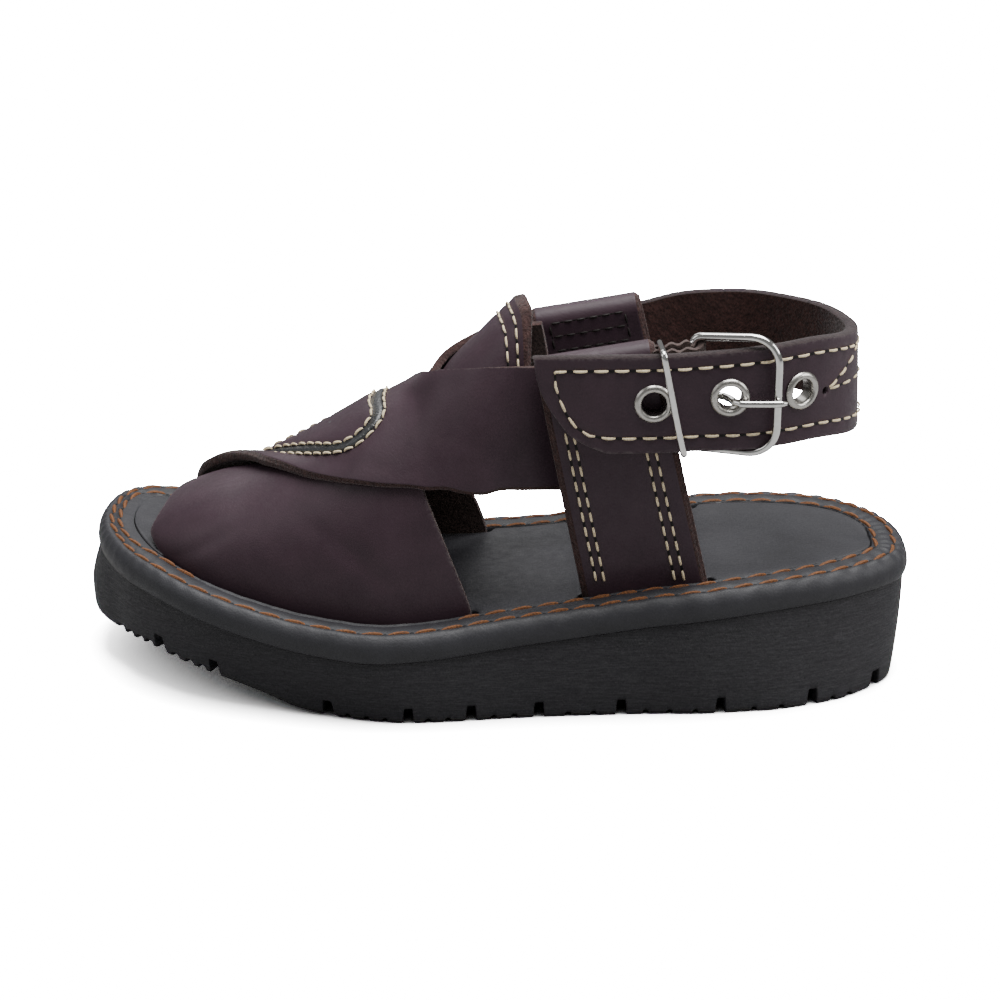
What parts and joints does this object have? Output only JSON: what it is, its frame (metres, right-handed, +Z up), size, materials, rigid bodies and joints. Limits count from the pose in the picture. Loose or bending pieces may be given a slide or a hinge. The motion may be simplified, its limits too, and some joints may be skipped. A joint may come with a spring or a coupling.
{
  "type": "peshawari chappal",
  "caption": "Left closed-front sandal with crossed leather straps, a heel strap and buckle, and a lugged wedge sole.",
  "frame": {"origin": "on the floor, under the middle of the sole's bounding box", "axes": "+X to the toe, +Y to the outer side (the wearer's left), +Z up"},
  "size_m": [0.195, 0.076, 0.0933],
  "materials": {
    "rubber": "matt moulded",
    "dark_leather": "smooth satin",
    "brown_leather": "grained satin",
    "suede_lining": "brushed nap",
    "nickel": "bright nickel plate"
  },
  "bodies": {
    "root": {"outsole": "rubber", "rand": "dark_leather", "insole": "dark_leather", "upper": "brown_leather", "vamp_leaf": "brown_leather", "tongue": "brown_leather", "quarter_outer": "brown_leather", "quarter_inner": "brown_leather", "heel_strap": "brown_leather", "buckle_chape": "suede_lining", "buckle_frame": "nickel", "buckle_prong": "nickel", "strap_keeper": "nickel", "eyelet_1": "nickel", "eyelet_2": "nickel", "eyelet_3": "nickel"}
  },
  "joints": []
}
